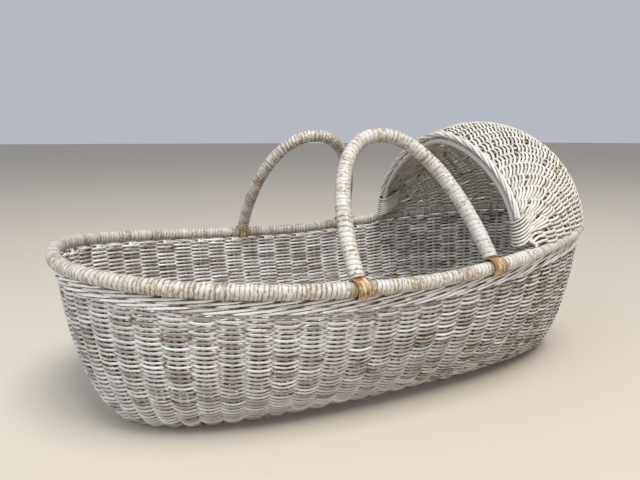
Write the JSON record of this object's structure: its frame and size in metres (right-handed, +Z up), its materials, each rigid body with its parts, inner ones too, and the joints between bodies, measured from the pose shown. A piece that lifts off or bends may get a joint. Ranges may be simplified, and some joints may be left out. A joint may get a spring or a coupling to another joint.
{
  "type": "moses basket",
  "caption": "Woven oval wicker baby basket with a bonnet hood at the head, a lapped rim and a pair of hoop handles that swing on the rim.",
  "frame": {"origin": "on the floor, under the middle of the basket", "axes": "+X from the foot end to the hooded head end, +Y to the left, +Z up"},
  "size_m": [0.8, 0.4556, 0.3655],
  "materials": {
    "painted_wicker": "round wicker in worn white paint, brown where the paint has rubbed off",
    "painted_lapping": "flat cane lapping in worn cream paint",
    "bare_cane": "bare cane, rubbed brown",
    "core_rattan": "plain rattan"
  },
  "bodies": {
    "basket": {"siding_outer": "painted_wicker", "siding_inner": "painted_wicker", "base_weave_under": "painted_wicker", "base_weave_over": "painted_wicker", "base_sticks": "core_rattan", "side_stakes": "painted_wicker", "top_wale": "painted_wicker", "rim_core": "core_rattan", "rim_lapping": "painted_lapping", "head_rim_core": "core_rattan", "head_rim_lapping": "painted_lapping", "hood_weave_outer": "painted_wicker", "hood_weave_inner": "painted_wicker", "hood_stakes": "painted_wicker", "hood_corner_bundles": "painted_wicker", "hood_border": "painted_wicker", "hood_bow": "painted_lapping"},
    "left_handle": {"left_handle_core": "core_rattan", "left_handle_lapping": "painted_lapping", "left_front_winding": "bare_cane", "left_rear_winding": "bare_cane"},
    "right_handle": {"right_handle_core": "core_rattan", "right_handle_lapping": "painted_lapping", "right_front_winding": "bare_cane", "right_rear_winding": "bare_cane"}
  },
  "joints": [
    {"name": "left_handle_swing", "type": "hinge", "parent": "basket", "child": "left_handle", "pos_m": [0.0045, 0.21128, 0.18003], "axis": [-0.9992, 0.0297, -0.027], "range_deg": [-54, 175]},
    {"name": "right_handle_swing", "type": "hinge", "parent": "basket", "child": "right_handle", "pos_m": [0.0045, -0.21128, 0.18003], "axis": [0.9992, 0.0297, 0.027], "range_deg": [-54, 175]}
  ]
}
